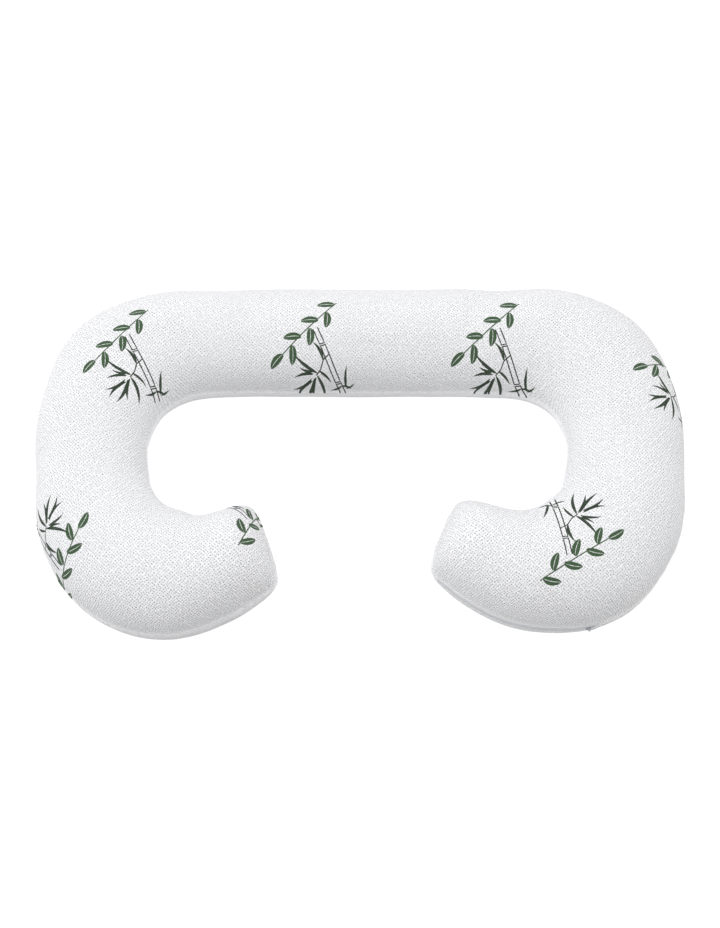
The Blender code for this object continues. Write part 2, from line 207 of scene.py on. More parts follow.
PULL_HOLE = (0.0040, 0.0034)
PULL_END_WALL = 0.0014
PULL_LIFT = 0.0005  # above the slider's top
PULL_DROOP = 9  # degrees
PULL_CORNER, HOLE_CORNER, SUNK_CORNER = 0.0025, 0.0008, 0.0016
PULL_NARROW = 0.78  # its width at the hinge, as a share of its width at the far end
PULL_RIM, PULL_SUNK, PULL_ROUND = 0.0011, 0.45, 0.0002
CORNER_POINTS = 7

# Finishes. The knit's dimples are pits of 2 to 3 mm about 5 mm apart, and its loops run 1.2 mm apart.
# The third colour is painted shade: the grey laid into the dimples' pits and into the folds at the seams.
KNIT_WHITE, KNIT_SHADE, PAINTED_CREVICE_SHADE = "#FAFAFB", "#F6F6F8", "#86888E"
LEAF_INK, TWIG_INK, LINE_INK = "#14300F", "#34552F", "#101C0E"
DIMPLE_PITCH, DIMPLE_DEPTH, DIMPLE_JITTER = 0.0053, 0.0020, 0.0046
DIMPLE_TURN = 45  # degrees between the dimples' rows and the bar
# The first two are the strength of the painted shade in each panel's dimple pits.
UPPER_PIT_SHADE, LOWER_PIT_SHADE, LOWER_DEPTH = 0.54, 0.42, 0.7  # how dark and how deep the two panels' dimples are
PIT_SPAN, KNOB_SPAN = (0.6, 1.7), (0.2, -1.6)  # of the two crossing waves' sum, which runs from -2 to 2
STRAY, UNEVEN = 0.55, 1.1  # how often, per pitch, the dimples' straying and their strength change
WEAK_SPAN, WEAKEST = (0.3, 0.65), 0.45  # noise over which a dimple's strength runs from least to full
MOTTLE, MOTTLE_DETAIL = 9, 2  # patches of the knit about 0.1 m across
TAUT, TAUT_SHARE = (0.004, 0.024), 0.25  # this near a seam the cloth is taut, so its dimples fade to a share
# Painted shade: within the first distance of a seam the knit's colour darkens, by up to the second share.
PAINTED_SEAM_SHADE_REACH, PAINTED_SEAM_SHADE = 0.0022, 0.8  # the fold at a seam lies in its own shadow
KNOB_HEIGHT = 0.0008
LOOP_PITCH, LOOP_DEPTH, LOOP_STRAY = 0.0012, 0.00025, 0.45
KNIT_ROUGH = (0.86, 0.96)
KNIT_SHEEN = {"IOR": 1.5, "Specular IOR Level": 0.12, "Sheen Weight": 0.03, "Sheen Roughness": 0.5}
RIB_PITCH, PICK_PITCH = 0.0008, 0.0011
RIB_STRAY, PICK_STRAY = 0.4, 0.6
WAVE_RUN = 2 * pi / 20  # length of a wave texture's wave at scale 1
# The tape's second colour is painted shade, laid into the weave's hollows.
TAPE_WHITE, TAPE_HOLLOW_SHADE = "#E4E5E8", "#CFD1D6"
TAPE_ROUGH, TAPE_DEPTH = (0.78, 0.66), 0.00012
NYLON_WHITE, NYLON_SHADE = "#D9DBDF", "#C4C7CC"
# The slider's grey is darker than the pull's partly as painted shade, for the shadowed outline round the pull.
SLIDER_GREY, SLIDER_SHADE = "#A2A4A8", "#909297"
THREAD_WHITE = "#F2F2F0"
FLOOR_WHITE, FLOOR_SHADE = "#FFFFFF", "#7A7A7A"
NYLON_DEPTH = 0.00002
ROUGH_SPREAD = 0.06  # how far a plain finish's roughness runs to both sides

# The camera looks down on the pillow from its mouth side, and the room is a white studio.
CAMERA_AIM, CAMERA_HEIGHT, CAMERA_DISTANCE, CAMERA_LENS = (0, -0.015, 0.10), 66, 3.5, 62.92
# The room's light on each side of the pillow: +X, +Y and above, then -X, -Y and below.
ROOM_LIGHT = ((1.03, 0.76, 1.15), (1.37, 0.23, 0.75))
KEY_PLACE, KEY_AIM, KEY_SIZE, KEY_POWER = (-0.9, 0.9, 3.6), (0, 0, 0.1), 3.0, 28
KEY_COLOUR = "#F9FBFF"
FLOOR_SIZE, FLOOR_GLOW = 400, 0.92

MATH, VECTOR, MIX, RANGE = "ShaderNodeMath", "ShaderNodeVectorMath", "ShaderNodeMix", "ShaderNodeMapRange"
NOISE, FLAT_MAP, TURN = "ShaderNodeTexNoise", "ShaderNodeUVMap", "ShaderNodeVectorRotate"


def connect(tree, inputs, given):
    """Fills inputs, in their order or by name or number, each with a value, a socket or a node."""
    for name, value in given.items() if isinstance(given, dict) else enumerate(given):
        if isinstance(value, bpy.types.Node):
            value = value.outputs[0]
        if isinstance(value, bpy.types.NodeSocket):
            tree.links.new(value, inputs[name])
        else:
            inputs[name].default_value = value


def put(tree, kind, given=(), operation=None, **settings):
    """Adds a node with its settings and what its inputs are given."""
    made = tree.nodes.new(kind)
    if operation:
        made.operation = operation
    for name, value in settings.items():
        setattr(made, name, value)
    connect(tree, made.inputs, given)
    return made


def new_group(name, kind, inputs, output):
    """A node group with one output of a type, and its inputs' sockets. inputs maps names to types."""
    group = bpy.data.node_groups.new(name, kind)
    for label, what in inputs.items():
        group.interface.new_socket(label, in_out="INPUT", socket_type="NodeSocket" + what)
    group.interface.new_socket("Result", in_out="OUTPUT", socket_type="NodeSocket" + output)
    return group, put(group, "NodeGroupInput").outputs[: len(inputs)]


def linear(code):
    """An sRGB hex colour as linear RGBA."""
    shares = [int(code[start:start + 2], 16) / 255 for start in (1, 3, 5)]
    return (*(part / 12.92 if part <= 0.04045 else ((part + 0.055) / 1.055) ** 2.4 for part in shares), 1.0)


def numbers_of(rows, what, width):
    """One property of all rows of a mesh's data, with some numbers in each row."""
    values = np.zeros(len(rows) * width)
    rows.foreach_get(what, values)
    return values.reshape(-1, width)


def points_of(mesh):
    return numbers_of(mesh.vertices, "co", 3)


def move_points(mesh, points):
    """Moves a mesh's points. None goes under the floor."""
    points[:, 2] = np.maximum(points[:, 2], 0)
    mesh.vertices.foreach_set("co", np.asarray(points, dtype=np.float32).ravel())
    mesh.update()


def add_object(name, data, *materials):
    made = bpy.data.objects.new(name, data)
    bpy.context.scene.collection.objects.link(made)
    for material in materials:
        data.materials.append(material)
    return made


def add_shape(name, shape, material, place=Matrix()):
    """A finished shape as a smooth object, with its faces turned outwards and moved to its place."""
    bmesh.ops.recalc_face_normals(shape, faces=shape.faces)
    shape.transform(place)
    mesh = bpy.data.meshes.new(name)
    shape.to_mesh(mesh)
    shape.free()
    mesh.shade_smooth()
    return add_object(name, mesh, material)


def finish_mesh(piece):
    """Turns a piece's modifiers into its plain mesh."""
    bpy.context.view_layer.update()
    graph = bpy.context.evaluated_depsgraph_get()
    done = piece.evaluated_get(graph)
    mesh = bpy.data.meshes.new_from_object(done, preserve_all_data_layers=True, depsgraph=graph)
    piece.modifiers.clear()
    old, piece.data = piece.data, mesh
    bpy.data.meshes.remove(old)
    mesh.name = piece.name


class MiddleLine:
    """The middle line of one arm, in plan, before it is mirrored to its side."""

    def __init__(self, arm):
        self.arm = arm
        self.sections = np.array(SECTIONS)[:, RIGHT_COLUMNS if arm.side > 0 else LEFT_COLUMNS]
        corner = arm.corner_radius * radians(arm.corner_turn)
        curl = arm.curl_radius * radians(arm.curl_turn)
        self.ends = np.cumsum((arm.half_bar, corner, arm.leg, curl, arm.tip))
        self.length = self.ends[-1]
        self.along = np.linspace(0, self.length, round(self.length / LINE_STEP) + 1)
        step = self.along[1]
        bends = np.array((0, 1 / arm.corner_radius, 0, 1 / arm.curl_radius, 0))
        bend = bends[np.minimum(np.searchsorted(self.ends, self.along), len(bends) - 1)]
        reach = round(BEND_EASING / LINE_STEP / 2)
        window = np.ones(2 * reach + 1) / (2 * reach + 1)
        for _ in range(2):
            bend = np.convolve(np.pad(bend, reach, mode="edge"), window, "valid")
        self.heading = -np.append(0, np.cumsum((bend[1:] + bend[:-1]) / 2)) * step
        halfway = (self.heading[1:] + self.heading[:-1]) / 2
        self.x, self.y = (np.append(0, np.cumsum(run)) * step for run in (np.cos(halfway), np.sin(halfway)))

    def places(self):
        """Where along the line each row of SECTIONS applies."""
        bar, corner, leg, curl, end = self.ends
        corner_rows = [bar + (corner - bar) * quarter / 4 for quarter in range(5)]
        curl_rows = [leg + (curl - leg) * quarter / 4 for quarter in range(4)]
        return np.array((0, bar * BAR_END_AT, *corner_rows, *curl_rows, end - self.arm.closing, end))

    def section(self, at):
        """The thickness, half width and shift between rows, on smooth curves that are level at both ends."""
        places, rows = self.places(), self.sections
        slopes = np.zeros_like(rows)
        slopes[1:-1] = (rows[2:] - rows[:-2]) / (places[2:] - places[:-2])[:, None]
        row = min(max(int(np.searchsorted(places, at, side="right")) - 1, 0), len(places) - 2)
        span = places[row + 1] - places[row]
        share = min(max((at - places[row]) / span, 0), 1)
        bends = slopes[row] * (1 - share) - slopes[row + 1] * share
        steps = (rows[row + 1] - rows[row]) * share * share * (3 - 2 * share)
        return rows[row] + steps + span * share * (1 - share) * bends


class Station:
    """The tube's section at one distance along an arm."""

    def __init__(self, line, at):
        arm = line.arm
        heading, x, y = (np.interp(at, line.along, values) for values in (line.heading, line.x, line.y))
        self.middle = Vector((arm.side * x, y, 0))
        self.outward = Vector((-arm.side * np.sin(heading), np.cos(heading), 0))
        self.ahead = Vector((arm.side * np.cos(heading), np.sin(heading), 0))
        closed = min(1, max(0, (at - (line.length - arm.closing)) / arm.closing))
        thickness, half, self.shift = line.section(at)
        self.half = half * (1 - TIP_ROUND * closed**TIP_POWER)
        self.open = (1 - closed**END_POWER) ** (1 / END_POWER)
        self.seam_height = SEAM_SHARE * thickness
        self.top = (thickness - self.seam_height) * self.open
        self.low = self.seam_height * self.open
        self.lean = np.tan(radians(arm.skew)) * closed**SKEW_POWER

    def plan(self, across):
        """A place in plan, some metres outwards from the section's middle."""
        return self.middle + self.outward * (across + self.shift) + self.ahead * (across * self.lean)

    def point(self, across, up):
        """A point of the section: across is metres outwards from its middle, up is metres above the seam."""
        return self.plan(across) + Vector((0, 0, self.seam_height + up))

    def flat(self, *offsets):
        """Where places of the panel lay on the flat cloth, each some metres outwards from the crown."""
        return [number for off in offsets for number in self.plan(off).xy]


def crowded(count):
    """Shares from 0 to 1, closest together at both ends."""
    even = np.linspace(0, 1, count + 1)
    return even - CROWDING * np.sin(2 * pi * even) / (2 * pi)


def panels(station):
    """The upper and the lower panel's columns, from the outer seam to the inner: across, up, and the offsets
    from the panel's middle at which the cloth and its print lay flat."""
    angles = np.linspace(0, pi, OUTLINE_STEPS)
    wide, high = [], []
    for height, power, deepest in ((station.top, TOP_POWER, 1), (-station.low, LOW_POWER, LOW_FLAT)):
        wide.append(np.sign(np.cos(angles)) * np.abs(np.cos(angles)) ** (2 / power) * station.half)
        high.append(np.minimum(np.abs(np.sin(angles)) ** (2 / power) * deepest, 1) * height)
    wide, high = (np.append(over, under[-2::-1]) for over, under in (wide, high))
    lengths = np.append(0, np.cumsum(np.hypot(np.diff(wide), np.diff(high))))
    inner, whole = lengths[OUTLINE_STEPS - 1], lengths[-1]
    seam = inner + INNER_DROP * station.open**2
    made = []
    for start, side, half in ((0, 1, inner / 2), (whole, -1, (whole - inner) / 2)):
        at = start + (seam - start) * crowded(PANEL_COLUMNS)
        cloth = half - side * (at - start)
        printed = cloth * (1 - FABRIC_GIVE * (cloth / half) ** 2)
        made.append(list(zip(np.interp(at, lengths, wide), np.interp(at, lengths, high), cloth, printed)))
    return made


def arm_distances(line):
    """Where the cover's rings stand along an arm: evenly, then closer together as the tube closes."""
    body = line.length - line.arm.closing
    even = np.linspace(0, body, round(body / STATION_PITCH) + 1)
    angles = np.radians(np.linspace(0, CLOSING_LAST, CLOSING_STATIONS + 1)[1:])
    return list(even) + list(body + line.arm.closing * np.sin(angles))


def settle_flat(flat, places):
    """Moves flat cloth until its threads are as long as they are on the form. Its first row stays."""
    on, before, whole = slice(1, None), slice(None, -1), slice(None)
    pairs = (((on, whole), (before, whole)), ((whole, on), (whole, before)))
    pairs += (((on, on), (before, before)), ((on, before), (before, on)))
    true = [np.linalg.norm(places[one] - places[other], axis=2, keepdims=True) for one, other in pairs]
    for _ in range(FLATTENING_ROUNDS):
        pull = np.zeros_like(flat)
        for (one, other), length in zip(pairs, true):
            run = flat[one] - flat[other]
            over = run * (1 - length / np.linalg.norm(run, axis=2, keepdims=True))
            pull[one] -= over
            pull[other] += over
        flat[1:] += pull[1:] / FLATTENING_EASE


class CoverGrid:
    """The cover as rings of points from the left tip to the right, with where each lay on the flat cloth."""

    def __init__(self):
        left, right = MiddleLine(LEFT_ARM), MiddleLine(RIGHT_ARM)
        stations = [Station(left, at) for at in reversed(arm_distances(left))]
        stations += [Station(right, at) for at in arm_distances(right)[1:]]
        self.points, self.faces, self.flat, self.below, self.seams = [], [], [], [], set()
        rings = [self.add_ring(station) for station in stations]
        for first, second in zip(rings, rings[1:]):
            self.join(first, second)
        for line, closing in ((left, rings[CLOSING_STATIONS::-1]), (right, rings[-1 - CLOSING_STATIONS:])):
            self.close(closing, Station(line, line.length))
        self.centre()

    def add(self, point):
        self.points.append(point)
        return len(self.points) - 1

    def add_ring(self, station):
        """Both panels' columns as pairs of a point and its flat cloth. They share the two seam points."""
        over, under = (
            [(station.point(across, up), station.flat(*cloth)) for across, up, *cloth in panel]
            for panel in panels(station)
        )
        top = [(self.add(point), flat) for point, flat in over]
        low = [(self.add(point), flat) for point, flat in under[1:-1]]
        return top, [(top[0][0], under[0][1]), *low, (top[-1][0], under[-1][1])]

    def join(self, first, second):
        """Both panels' faces between two rings, and the side seams that run along them."""
        for below, (one, other) in enumerate(zip(first, second)):
            for column in range(PANEL_COLUMNS):
                corners = (one[column], one[column + 1], other[column + 1], other[column])
                self.faces.append([point for point, _ in corners])
                self.flat += [flat for _, flat in corners]
                self.below.append(below)
            for side in (0, -1):
                self.seams.add(tuple(sorted((one[side][0], other[side][0]))))

    def close(self, rings, station):
        """Joins both panels to the end seam's row, and lays that end's cloth flat at its true lengths."""
        rows = ([], [])
        for share in crowded(PANEL_COLUMNS):
            across = (1 - 2 * share) * station.half
            bow = station.ahead * END_BOW * (1 - (1 - 2 * share) ** 2)
            point = self.add(station.point(across, 0) + bow)
            for row in rows:
                row.append((point, station.flat(across, across)))
        self.join(rings[-1], rows)
        self.seams.update((one[0], other[0]) for one, other in zip(rows[0], rows[0][1:]))
        ahead = np.array(station.ahead.xy)
        for panel, row in enumerate(rows):
            lines = [*(ring[panel] for ring in rings), row]
            places = np.array([[self.points[point] for point, _ in line] for line in lines])
            flat = np.array([[cloth[:2] for _, cloth in line] for line in lines])
            run = np.cumsum(np.linalg.norm(np.diff(places, axis=0), axis=2), axis=0)
            plan = (flat[1:] - flat[0]) @ ahead
            flat[1:] += (run - plan)[..., None] * ahead
            settle_flat(flat, places)
            for line, settled in zip(lines[1:], flat[1:]):
                for (_, cloth), place in zip(line, settled):
                    cloth[2:] = place + np.subtract(cloth[2:], cloth[:2])
                    cloth[:2] = place

    def centre(self):
        """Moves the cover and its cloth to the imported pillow's middle, in plan."""
        low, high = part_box("pillow")
        points = np.array(self.points)
        middle = (points.min(0) + points.max(0)) / 2
        self.shift = Vector(((low.x + high.x) / 2 - middle[0], (low.y + high.y) / 2 - middle[1], 0))
        self.points = points + np.array(self.shift)
        self.flat = np.array(self.flat) + np.array((*self.shift.xy, *self.shift.xy))


def cover_mesh(grid):
    """The cover's grid as one closed mesh with its seams marked. Its maps are in metres on the flat cloth."""
    mesh = bpy.data.meshes.new("pillow_cover")
    mesh.from_pydata([tuple(point) for point in grid.points], [], grid.faces)
    mesh.polygons.foreach_set("material_index", grid.below)
    for name, columns in (("cloth", slice(0, 2)), ("print", slice(2, 4))):
        layer = mesh.uv_layers.new(name=name, do_init=False)
        layer.uv.foreach_set("vector", grid.flat[:, columns].astype(np.float32).ravel())
    shape = bmesh.new()
    shape.from_mesh(mesh)
    crease = shape.edges.layers.float.new("crease_edge")
    for edge in shape.edges:
        edge.seam = tuple(sorted(vertex.index for vertex in edge.verts)) in grid.seams
        edge[crease] = SEAM_CREASE if edge.seam else 0
    bmesh.ops.recalc_face_normals(shape, faces=shape.faces)
    shape.to_mesh(mesh)
    shape.free()
    return mesh


def fill(cover, grid):
    """The filling's pressure swells the cloth outwards between its seams, by a little. The floor stops it."""
    mesh = cover.data
    full, normals = points_of(mesh), numbers_of(mesh.vertex_normals, "vector", 3)
    sewn = sorted({point for edge in grid.seams for point in edge})
    loose = np.ones((len(full), 1))
    loose[sewn] = 0
    move_points(mesh, full - normals * loose * START_INSET)
    held = cover.vertex_groups.new(name="sewn")
    held.add(sewn, 1.0, "REPLACE")
    cloth = cover.modifiers.new("Filled", "CLOTH").settings
    cloth.quality = CLOTH_QUALITY
    cloth.mass = CLOTH_MASS
    cloth.use_pressure = True
    cloth.uniform_pressure_force = PRESSURE
    cloth.vertex_group_mass = held.name
    cloth.shrink_min = -CLOTH_SLACK
    cloth.effector_weights.gravity = 0
    for number in range(1, PRESSURE_FRAMES + 1):
        bpy.context.scene.frame_set(number)
    finish_mesh(cover)
    bpy.context.scene.frame_set(1)
    moved = points_of(cover.data) - full
    moved -= normals * np.minimum((moved * normals).sum(1, keepdims=True), 0)
    length = np.linalg.norm(moved, axis=1, keepdims=True)
    move_points(cover.data, full + moved * np.minimum(1, MOST_SWELL / np.maximum(length, MOST_SWELL / 100)))
    cover.vertex_groups.clear()


def tree_of(points):
    tree = KDTree(len(points))
    for index, point in enumerate(points):
        tree.insert(point, index)
    tree.balance()
    return tree


def seam_tree(mesh):
    """Points close together along every seam of the cover."""
    places = points_of(mesh)
    spots = []
    for edge in mesh.edges:
        if edge.use_seam:
            start, end = (places[corner] for corner in edge.vertices)
            count = max(1, int(np.linalg.norm(end - start) / SEAM_SAMPLE))
            spots += [start + (end - start) * share / count for share in range(count)]
    return tree_of(spots)


def near_zip(grid):
    """A function that is 1 beside the zip's stretch of seam and fades to 0 away from it."""
    line = MiddleLine(RIGHT_ARM)
    spots = []
    for from_tip in np.arange(ZIP_START, ZIP_END, 2 * ZIP_STEP):
        station = Station(line, line.length - from_tip)
        spots.append(station.point(station.half, -ZIP_DROP) + grid.shift)
    tree = tree_of(spots)

    def share(point):
        beyond = (tree.find(point)[2] - 2 * BAND_HALF) / BAND_HALF
        return 1 - min(max(beyond, 0), 1)

    return share


def bell(away, reach):
    """1 at its middle, fading on both sides over a reach."""
    return exp(-((away / reach) ** 2))


def sew(cover, grid):
    """Draws the cloth in along its seams, with the puckers of the sewing, and makes the filling uneven."""
    mesh = cover.data
    seams, by_zip = seam_tree(mesh), near_zip(grid)
    places, normals = points_of(mesh), numbers_of(mesh.vertex_normals, "vector", 3)
    moves = np.zeros((len(places), 1))
    from_seam = np.zeros(len(places))
    for index, place in enumerate(places):
        point = Vector(place)
        near, _, distance = seams.find(point)
        from_seam[index] = distance
        free = 1 - exp(-distance / SEAM_STIFF)
        rolled = LIP_OVER if point.z > near.z else LIP_UNDER
        bead = bell(distance - BEAD_AT, BEAD_REACH) * BEAD_RISE * rolled
        drawn_in = bell(distance, VALLEY_REACH) * VALLEY_DEPTH
        gather = noise.noise(near / PUCKER_PITCH) * PUCKER_RISE * exp(-distance / PUCKER_REACH)
        drag = noise.noise(near / DRAG_PITCH) * DRAG_RISE * exp(-distance / DRAG_REACH)
        lump = noise.noise(point / LUMP_PITCH) * LUMP_RISE
        sewn = bead - drawn_in + (gather + drag) * free
        lip = bell(abs(point.z - near.z + ZIP_DROP) - BAND_HALF - LIP_HALF, LIP_HALF) * LIP_RISE
        zipped = by_zip(point)
        moves[index] = (1 - zipped) * sewn + zipped * lip + lump * free
    move_points(mesh, places + normals * moves)
    kept = mesh.attributes.new("from_seam", "FLOAT", "POINT")
    kept.data.foreach_set("value", from_seam.astype(np.float32))


def lay_print(mesh):
    """Turns the print's map into each face's place within the printed sprig that is nearest."""
    layer = mesh.uv_layers["print"].uv
    flat = numbers_of(layer, "vector", 2)
    starts = numbers_of(mesh.polygons, "loop_start", 1)[:, 0].astype(int)
    sizes = np.diff(np.append(starts, len(flat)))
    middles = np.add.reduceat(flat, starts) / sizes[:, None]
    canes = np.array([complex(x, y) for x, y, _ in SPRIGS])
    turns = np.exp(1j * np.radians([turn for *_, turn in SPRIGS]))
    centres = canes + complex(*PRINT_MIDDLE) * turns
    nearest = np.argmin(np.abs(middles @ (1, 1j) - centres[:, None]), axis=0).repeat(sizes)
    printed = (flat @ (1, 1j) - canes[nearest]) / turns[nearest]
    layer.foreach_set("vector", np.c_[printed.real, printed.imag].astype(np.float32).ravel())


def build_cover(upper, lower):
    """The cover, filled, sewn and printed, with the grid it was made from."""
    grid = CoverGrid()
    cover = add_object("pillow_cover", cover_mesh(grid), upper, lower)
    fill(cover, grid)
    finer = cover.modifiers.new("Finer", "SUBSURF")
    finer.levels = finer.render_levels = 1
    finer.use_limit_surface = False
    finish_mesh(cover)
    sew(cover, grid)
    lay_print(cover.data)
    cover.data.shade_smooth()
    return cover, grid


class ZipSide:
    """The finished cover at the outer side of the right-hand curl, read by casting rays inwards."""

    def __init__(self, cover, grid):
        corners = [vertex.co for vertex in cover.data.vertices]
        self.tree = BVHTree.FromPolygons(corners, [face.vertices[:] for face in cover.data.polygons])
        self.line = MiddleLine(RIGHT_ARM)
        self.shift = grid.shift

    def station(self, from_tip):
        return Station(self.line, self.line.length - from_tip)

    def skin(self, from_tip, up):
        """The skin's point at a distance from the tip and a height above the zip's middle."""
        station = self.station(from_tip)
        start = station.point(2 * station.half, up - ZIP_DROP) + self.shift
        return self.tree.ray_cast(start, -station.outward)[0]

    def above(self, from_tip, up, rise):
        """A point that stands above the straight bridge between the band's two edges."""
        low, high = self.skin(from_tip, -BAND_HALF), self.skin(from_tip, BAND_HALF)
        return low.lerp(high, (up + BAND_HALF) / (2 * BAND_HALF)) + self.station(from_tip).outward * rise

    def seam_frame(self, from_tip, rise):
        """Axes on the band: X along the seam away from the tip, Y across it upwards, Z out of the skin."""
        along = self.above(from_tip + SEAM_RUN, 0, rise) - self.above(from_tip - SEAM_RUN, 0, rise)
        along.z = 0
        along.normalize()
        slope = self.skin(from_tip, BAND_HALF) - self.skin(from_tip, -BAND_HALF)
        outward = along.cross(slope).normalized()
        axes = Matrix((along, outward.cross(along), outward)).transposed().to_4x4()
        return Matrix.Translation(self.above(from_tip, 0, rise)) @ axes


def band_rise(up):
    """How far the tapes stand above the bridge between the band's edges."""
    return TAPE_EDGE + (TAPE_CREST - TAPE_EDGE) * (1 - (up / BAND_HALF) ** 2)


def bridge(shape, rings):
    """The sides between closed rings of points."""
    for first, second in zip(rings, rings[1:]):
        for spot in range(len(first)):
            after = (spot + 1) % len(first)
            shape.faces.new((first[spot], first[after], second[after], second[spot]))


def cap(shape, rings):
    """The faces that shut the first and the last ring."""
    shape.faces.new(rings[0])
    shape.faces.new(rings[-1])


def build_band(side, material):
    """The two closed tapes as one low band. Its map runs along the seam and across it, in metres."""
    ups = np.linspace(-BAND_HALF, BAND_HALF, BAND_COLUMNS + 1)
    back = ups[::-BACK_SPARSE]
    across = [*ups, *back]
    distances = np.arange(ZIP_START, ZIP_END + ZIP_STEP / 2, ZIP_STEP)
    shape = bmesh.new()
    band_map = shape.loops.layers.uv.new("band")
    rings = []
    for from_tip in distances:
        outward = side.station(from_tip).outward
        outside = [side.above(from_tip, up, band_rise(up)) for up in ups]
        inside = [side.skin(from_tip, up) + outward * TAPE_GAP for up in back]
        rings.append([shape.verts.new(point) for point in outside + inside])
    bridge(shape, rings)
    shape.verts.index_update()
    for face in shape.faces:
        for loop in face.loops:
            ring, column = divmod(loop.vert.index, len(across))
            loop[band_map].uv = (distances[ring], across[column])
    cap(shape, rings)
    return add_shape("zip_band", shape, material)


def beads_tree():
    """Small rounded beads at an even pitch along a line, each turned to the skin and to the line's run."""
    inputs = {"Line": "Geometry", "Pitch": "Float", "Bead size": "Vector", "Stagger": "Float"}
    inputs["Material"] = "Material"
    tree, (line, pitch, size, stagger, finish) = new_group("Beads", "GeometryNodeTree", inputs, "Geometry")
    curve = put(tree, "GeometryNodeMeshToCurve", {"Mesh": line})
    spaced = put(tree, "GeometryNodeResampleCurve", {"Curve": curve, "Length": pitch}, mode="LENGTH")
    outward = put(tree, "GeometryNodeInputNamedAttribute", {"Name": "outward"}, data_type="FLOAT_VECTOR")
    axes = (outward, put(tree, "GeometryNodeInputTangent"))
    turned = put(tree, "FunctionNodeAxesToRotation", axes, primary_axis="Z", secondary_axis="X")
    ball = put(tree, "GeometryNodeMeshUVSphere", BEAD_FACES)
    smooth = put(tree, "GeometryNodeSetShadeSmooth", {"Geometry": ball})
    given = {"Points": spaced, "Instance": smooth, "Rotation": turned, "Scale": size}
    beads = put(tree, "GeometryNodeInstanceOnPoints", given)
    odd = put(tree, MATH, (put(tree, "GeometryNodeInputIndex"), 2.0), "MODULO")
    side = put(tree, MATH, (odd, 0.5), "SUBTRACT")
    shift = put(tree, MATH, (side, stagger), "MULTIPLY")
    aside = put(tree, "ShaderNodeCombineXYZ", {"Y": shift})
    moved = put(tree, "GeometryNodeTranslateInstances", {"Instances": beads, "Translation": aside})
    real = put(tree, "GeometryNodeRealizeInstances", {"Geometry": moved})
    dressed = put(tree, "GeometryNodeSetMaterial", {"Geometry": real, "Material": finish})
    put(tree, "NodeGroupOutput", (dressed,))
    return tree


def build_beads(name, side, tree, up, rise, given):
    """Beads along the band at one height. given maps the tree's inputs to their values."""
    distances = np.arange(ZIP_START + BEAD_INSET, ZIP_END - BEAD_INSET, ZIP_STEP)
    mesh = bpy.data.meshes.new(name)
    places = [side.above(from_tip, up, rise) for from_tip in distances]
    mesh.from_pydata(places, [(spot, spot + 1) for spot in range(len(places) - 1)], [])
    outward = mesh.attributes.new("outward", "FLOAT_VECTOR", "POINT")
    for spot, from_tip in enumerate(distances):
        outward.data[spot].vector = side.seam_frame(from_tip, rise).col[2].xyz
    beads = add_object(name, mesh)
    modifier = beads.modifiers.new("Beads", "NODES")
    modifier.node_group = tree
    for socket in tree.interface.items_tree:
        if socket.in_out == "INPUT" and socket.name in given:
            modifier[socket.identifier] = given[socket.name]
    finish_mesh(beads)
    return beads


def add_block(shape, outline, low, high):
    """A block on an outline in plan, from one height to another."""
    rings = [[shape.verts.new((x, y, z)) for x, y in outline] for z in (low, high)]
    cap(shape, rings)
    bridge(shape, rings)


def add_bail(shape):
    """The bow that holds the pull: half a stretched ring of flat wire, its two feet inside the slider."""
    rings = []
    for turn in np.radians(np.linspace(*BAIL_ARC, BAIL_STEPS)):
        ring = []
        for round_wire in np.radians(np.arange(0, 360, 360 / WIRE_STEPS)):
            reach = BAIL_RADIUS + BAIL_WIRE * np.cos(round_wire)
            place = (
                BAIL_AT + reach * np.cos(turn),
                BAIL_FLAT * BAIL_WIRE * np.sin(round_wire),
                SLIDER_TOP + BAIL_STRETCH * reach * np.sin(turn),
            )
            ring.append(shape.verts.new(place))
        rings.append(ring)
    bridge(shape, rings)
    cap(shape, rings)


def build_slider(frame_on_band, material):
    """The slider: a body that narrows to its tail, rails beside the coil, a raised crown and the bail."""
    front, half = SLIDER_SIZE[0] / 2, SLIDER_SIZE[1] / 2
    side = [(-front, half * SLIDER_TAIL), (-front * SLIDER_WAIST, half), (front, half)]
    crown = [(x * CROWN_SHARE[0], y * CROWN_SHARE[1]) for x, y in side]
    shape = bmesh.new()
    for edge, low, high in ((side, TOUCH_GAP, PLATE_TOP), (crown, PLATE_TOP - RAIL_WALL / 2, SLIDER_TOP)):
        add_block(shape, edge + [(x, -y) for x, y in reversed(edge)], low, high)
    for mirror in (1, -1):
        outer = [(x, y * mirror) for x, y in side]
        inner = [(x, (y - RAIL_WALL) * mirror) for x, y in reversed(side)]
        add_block(shape, outer + inner, RAIL_FOOT, TOUCH_GAP + RAIL_WALL)
    bmesh.ops.recalc_face_normals(shape, faces=shape.faces)
    sharp = [edge for edge in shape.edges if edge.calc_face_angle(0) > radians(SHARP_EDGE)]
    bmesh.ops.bevel(shape, geom=sharp, offset=EDGE_ROUND, segments=3, profile=0.5, affect="EDGES")
    add_bail(shape)
    return add_shape("zip_slider_body", shape, material, frame_on_band)


def tab_outline(start, end, half_start, half_end, radius):
    """A rounded outline that widens from its start to its end."""
    corners = ((end - radius, half_end - radius, 0), (start + radius, half_start - radius, 90))
    corners += ((start + radius, radius - half_start, 180), (end - radius, radius - half_end, 270))
    points = []
    for x, y, first in corners:
        for angle in np.radians(np.linspace(first, first + 90, CORNER_POINTS)):
            points.append((x + radius * np.cos(angle), y + radius * np.sin(angle)))
    return points


